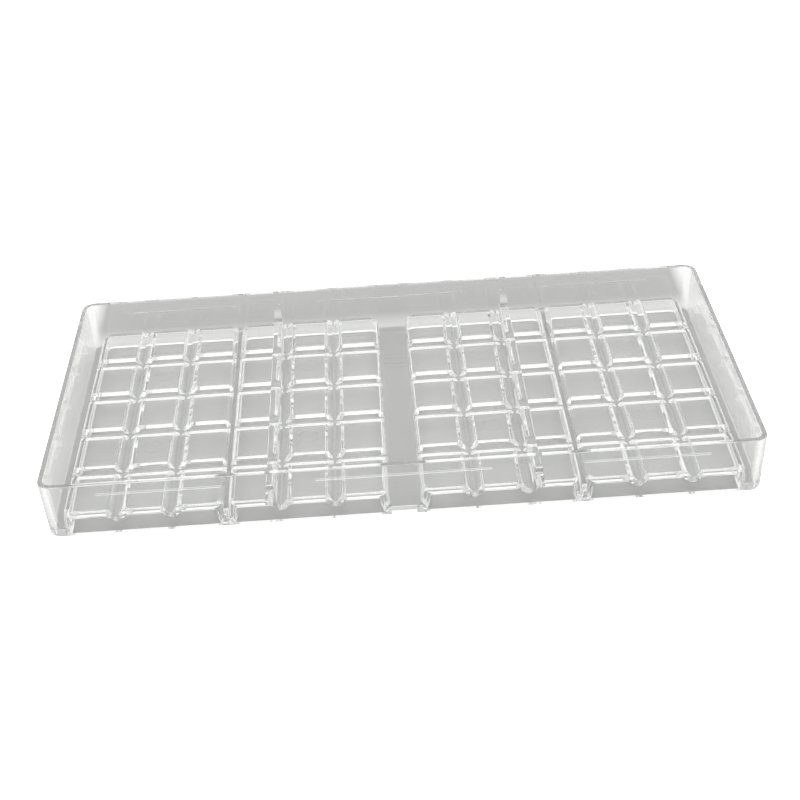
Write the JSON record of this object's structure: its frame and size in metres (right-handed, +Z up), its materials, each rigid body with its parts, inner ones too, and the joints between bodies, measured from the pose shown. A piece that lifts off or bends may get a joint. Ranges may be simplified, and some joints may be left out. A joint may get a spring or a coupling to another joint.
{
  "type": "bar mould",
  "caption": "Clear rigid bar mould lying face down: rectangular tray with an upstanding skirt and scored bar cavities in its floor.",
  "frame": {"origin": "middle of the moulding face, which is the face that the mould lies on", "axes": "+Z up from the moulding face to the rim of the skirt, X along the mould, Y across it with +Y to the back"},
  "size_m": [0.275, 0.135, 0.024],
  "materials": {
    "clear_plastic": "clear polished polycarbonate"
  },
  "bodies": {
    "root": {"back_ledge_left": "clear_plastic", "back_ledge_middle": "clear_plastic", "back_ledge_right": "clear_plastic", "back_left_corner": "clear_plastic", "back_right_corner": "clear_plastic", "back_wall": "clear_plastic", "centre_land": "clear_plastic", "front_ledge_left": "clear_plastic", "front_ledge_middle": "clear_plastic", "front_ledge_right": "clear_plastic", "front_left_corner": "clear_plastic", "front_right_corner": "clear_plastic", "front_wall": "clear_plastic", "left_cross_rib": "clear_plastic", "left_end_land": "clear_plastic", "left_end_wall": "clear_plastic", "left_gusset_back": "clear_plastic", "left_gusset_front": "clear_plastic", "left_inner_bar_back_end": "clear_plastic", "left_inner_bar_front_end": "clear_plastic", "left_inner_bar_left_side": "clear_plastic", "left_inner_bar_right_side": "clear_plastic", "left_inner_bar_roof": "clear_plastic", "left_outer_bar_back_end": "clear_plastic", "left_outer_bar_front_end": "clear_plastic", "left_outer_bar_left_side": "clear_plastic", "left_outer_bar_right_side": "clear_plastic", "left_outer_bar_roof": "clear_plastic", "left_pair_land": "clear_plastic", "right_cross_rib": "clear_plastic", "right_end_land": "clear_plastic", "right_end_wall": "clear_plastic", "right_gusset_back": "clear_plastic", "right_gusset_front": "clear_plastic", "right_inner_bar_back_end": "clear_plastic", "right_inner_bar_front_end": "clear_plastic", "right_inner_bar_left_side": "clear_plastic", "right_inner_bar_right_side": "clear_plastic", "right_inner_bar_roof": "clear_plastic", "right_outer_bar_back_end": "clear_plastic", "right_outer_bar_front_end": "clear_plastic", "right_outer_bar_left_side": "clear_plastic", "right_outer_bar_right_side": "clear_plastic", "right_outer_bar_roof": "clear_plastic", "right_pair_land": "clear_plastic"}
  },
  "joints": []
}
